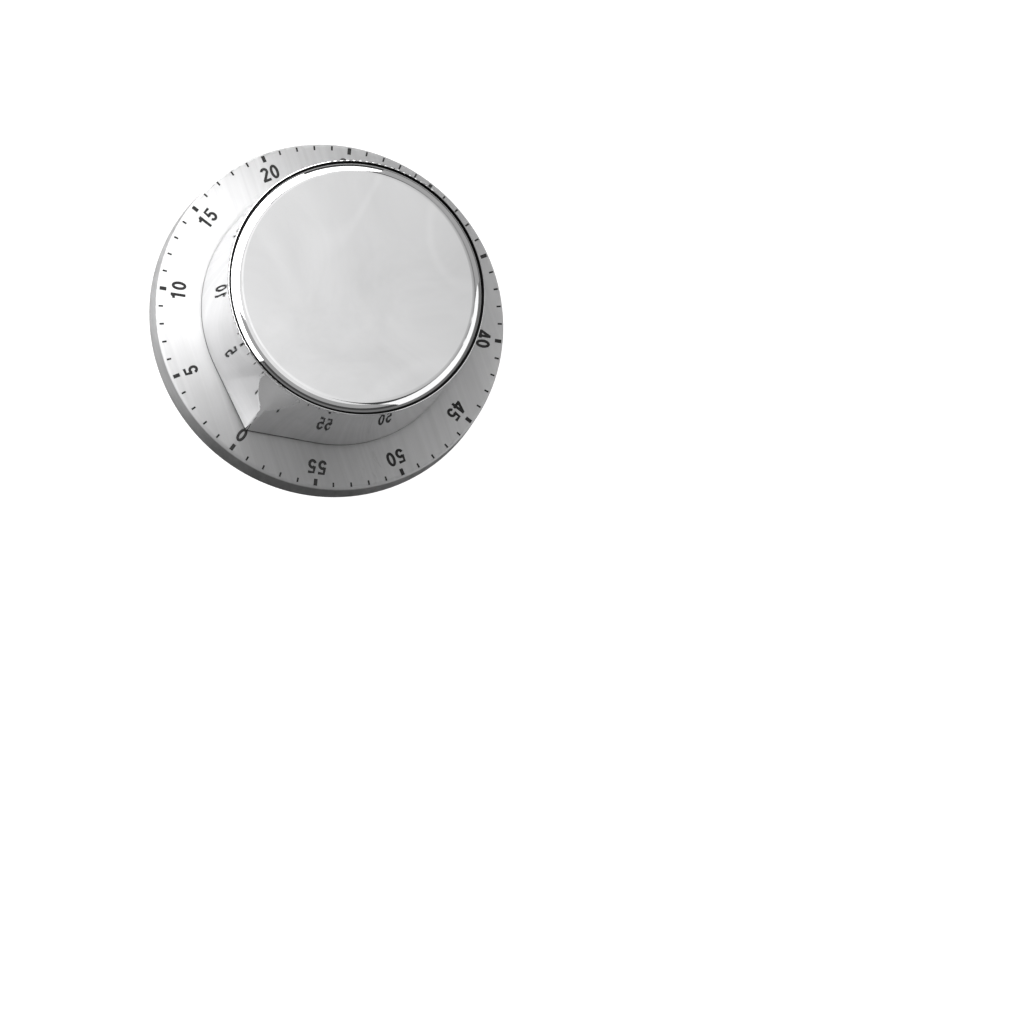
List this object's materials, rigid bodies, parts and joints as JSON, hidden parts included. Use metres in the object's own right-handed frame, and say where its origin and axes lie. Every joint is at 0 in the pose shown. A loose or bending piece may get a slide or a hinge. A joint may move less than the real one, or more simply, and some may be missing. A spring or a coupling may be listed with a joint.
{
  "type": "mechanical kitchen timer",
  "caption": "Round wind-up kitchen timer: low satin steel dial with minute marks, and a large polished knob with a pointed nose that turns on it.",
  "frame": {"origin": "centre of the round rest face on the back", "axes": "+Z out of the back through the knob, +Y towards the 0 mark on the dial"},
  "size_m": [0.08, 0.08, 0.0335],
  "materials": {
    "satin_steel": "satin brushed stainless steel",
    "polished_steel": "mirror polished stainless steel",
    "black_plastic": "matt black moulding",
    "white_plastic": "natural white moulding",
    "rubber": "matt black",
    "ferrite": "sintered dark grey",
    "zinc_steel": "bright zinc plated",
    "hard_steel": "turned and hardened",
    "spring_steel": "blued spring steel",
    "brass": "stamped brass",
    "bell_steel": "nickel plated"
  },
  "bodies": {
    "base": {"dial_shell": "satin_steel", "base_frame": "black_plastic", "back_cover": "black_plastic", "cover_screws": "zinc_steel", "foot_ring": "rubber", "magnet": "ferrite", "magnet_plate": "zinc_steel", "movement_can": "white_plastic", "can_screws": "zinc_steel", "stop_pin": "hard_steel", "bottom_plate": "zinc_steel", "plate_screws": "zinc_steel", "top_plate": "zinc_steel", "plate_pillars": "zinc_steel", "pillar_nuts": "zinc_steel", "arbor_bushes": "brass", "mainspring": "spring_steel", "mainspring_stud": "hard_steel", "hairspring": "spring_steel", "hairspring_stud": "hard_steel", "hammer_spring": "spring_steel", "bell_bracket": "zinc_steel", "bracket_rivets": "zinc_steel", "bell_post": "brass", "bell": "bell_steel", "bell_nut": "zinc_steel"},
    "knob": {"knob_body": "polished_steel", "knob_cap": "polished_steel", "knob_hub": "white_plastic", "hub_clip": "spring_steel", "main_arbor": "hard_steel", "arbor_retainer": "hard_steel", "main_wheel": "brass", "strike_drive_wheel": "brass", "release_cam": "zinc_steel"},
    "second_axle": {"second_arbor": "hard_steel", "second_wheel": "brass", "winding_ratchet": "spring_steel", "click_spring": "spring_steel"},
    "third_axle": {"third_arbor": "hard_steel", "third_wheel": "brass"},
    "escape_axle": {"escape_arbor": "hard_steel", "escape_wheel": "brass"},
    "pallet": {"pallet_lever": "zinc_steel", "pallet_pins": "hard_steel", "pallet_arbor": "hard_steel"},
    "balance": {"balance_staff": "hard_steel", "balance_wheel": "brass", "crank_disc": "brass"},
    "strike_axle": {"strike_arbor": "hard_steel", "strike_wheel": "brass"},
    "star_axle": {"star_arbor": "hard_steel", "star_wheel": "brass"},
    "hammer": {"hammer_arbor": "hard_steel", "hammer_finger": "zinc_steel", "hammer_tail": "zinc_steel", "hammer_arm": "zinc_steel", "hammer_head": "brass"}
  },
  "joints": [
    {"name": "knob_turn", "type": "hinge", "parent": "base", "child": "knob", "pos_m": [0, 0, 0], "axis": [0, 0, 1], "range_deg": [-354, 0], "stiffness_Nm_per_rad": 0.01, "springref_deg": 20.05, "deforming": ["mainspring"]},
    {"name": "second_spin", "type": "hinge", "parent": "base", "child": "second_axle", "pos_m": [-0.0136, 0, 0], "axis": [0, 0, 1], "range_deg": [0, 2655]},
    {"name": "third_spin", "type": "hinge", "parent": "base", "child": "third_axle", "pos_m": [-0.00894, 0.01018, 0], "axis": [0, 0, 1], "range_deg": [-18585, 0]},
    {"name": "escape_spin", "type": "hinge", "parent": "base", "child": "escape_axle", "pos_m": [-0.00044, 0.01397, 0], "axis": [0, 0, 1], "range_deg": [0, 125448.75]},
    {"name": "strike_spin", "type": "hinge", "parent": "base", "child": "strike_axle", "pos_m": [0, -0.0136, 0], "axis": [0, 0, 1], "range_deg": [0, 2655]},
    {"name": "star_spin", "type": "hinge", "parent": "base", "child": "star_axle", "pos_m": [0.00944, -0.01096, 0], "axis": [0, 0, 1], "range_deg": [-15930, 0]},
    {"name": "balance_swing", "type": "hinge", "parent": "base", "child": "balance", "pos_m": [0.01332, 0.00834, 0], "axis": [0, 0, 1], "range_deg": [-40, 40], "stiffness_Nm_per_rad": 0.000004, "deforming": ["hairspring"]},
    {"name": "pallet_rock", "type": "hinge", "parent": "base", "child": "pallet", "pos_m": [0.00716, 0.01207, 0], "axis": [0, 0, 1], "range_deg": [-7.14, 7.14]},
    {"name": "hammer_swing", "type": "hinge", "parent": "base", "child": "hammer", "pos_m": [0.01855, -0.00497, 0], "axis": [0, 0, 1], "range_deg": [0, 5], "stiffness_Nm_per_rad": 0.002, "springref_deg": 5, "deforming": ["hammer_spring"]}
  ],
  "couplings": [
    {"joint": "second_spin", "follows": "knob_turn", "ratio": -7.5},
    {"joint": "third_spin", "follows": "knob_turn", "ratio": 52.5},
    {"joint": "escape_spin", "follows": "knob_turn", "ratio": -354.38},
    {"joint": "strike_spin", "follows": "knob_turn", "ratio": -7.5},
    {"joint": "star_spin", "follows": "knob_turn", "ratio": 45},
    {"joint": "pallet_rock", "follows": "balance_swing", "ratio": -0.17857}
  ]
}
